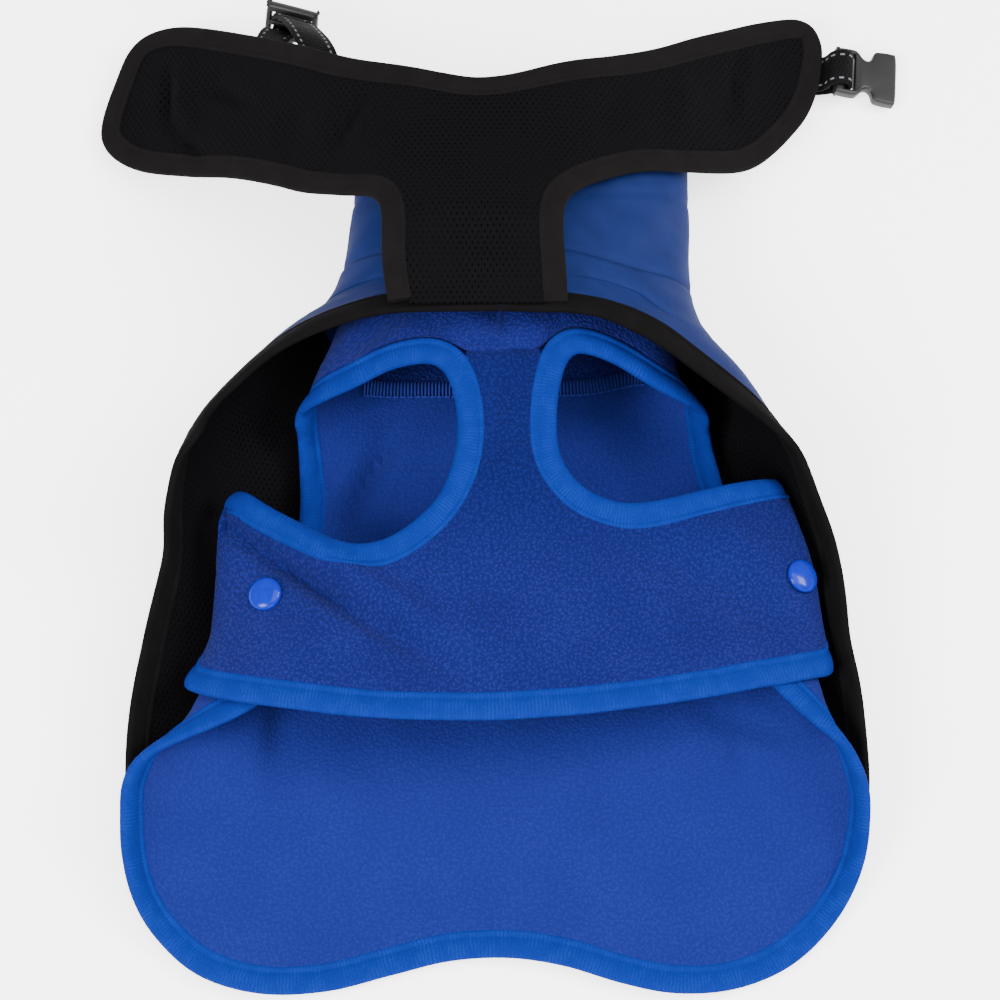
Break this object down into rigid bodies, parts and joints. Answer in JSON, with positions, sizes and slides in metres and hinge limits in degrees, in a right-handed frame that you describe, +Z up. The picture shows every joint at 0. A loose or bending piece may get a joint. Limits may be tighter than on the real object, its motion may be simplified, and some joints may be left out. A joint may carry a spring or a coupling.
{
  "type": "dog winter coat",
  "caption": "Softshell dog coat lying open on its back, with a fleece vest snapped shut inside it and a rolled-over belly flap with a buckle.",
  "frame": {"origin": "under the middle of the whole coat, on the surface it lies on", "axes": "+Y towards the head end, +Z up from the coat's back to its belly side, +X to the right as seen from above the belly side"},
  "size_m": [0.3108, 0.387, 0.0761],
  "materials": {
    "softshell_blue": "matte softshell",
    "net_lining": "matte net",
    "binding_tape": "matte",
    "fleece": "soft nap",
    "rib_tape": "ribbed",
    "webbing": "woven",
    "buckle_plastic": "satin",
    "snap_plastic": "gloss"
  },
  "bodies": {
    "root": {"coat_shell": "softshell_blue", "coat_lining": "net_lining", "coat_edge_tape": "binding_tape", "collar_base": "softshell_blue", "collar": "softshell_blue", "flap_shell": "softshell_blue", "flap_lining": "net_lining", "flap_edge_tape": "binding_tape", "vest_back": "fleece", "vest_front": "fleece", "vest_collar": "fleece", "vest_edge_tape": "rib_tape", "armhole_tape_left": "rib_tape", "armhole_tape_right": "rib_tape", "band_tape": "rib_tape", "snap_left": "snap_plastic", "snap_right": "snap_plastic", "buckle_socket": "buckle_plastic", "webbing_right": "webbing", "buckle_plug": "buckle_plastic", "webbing_left": "webbing"}
  },
  "joints": []
}
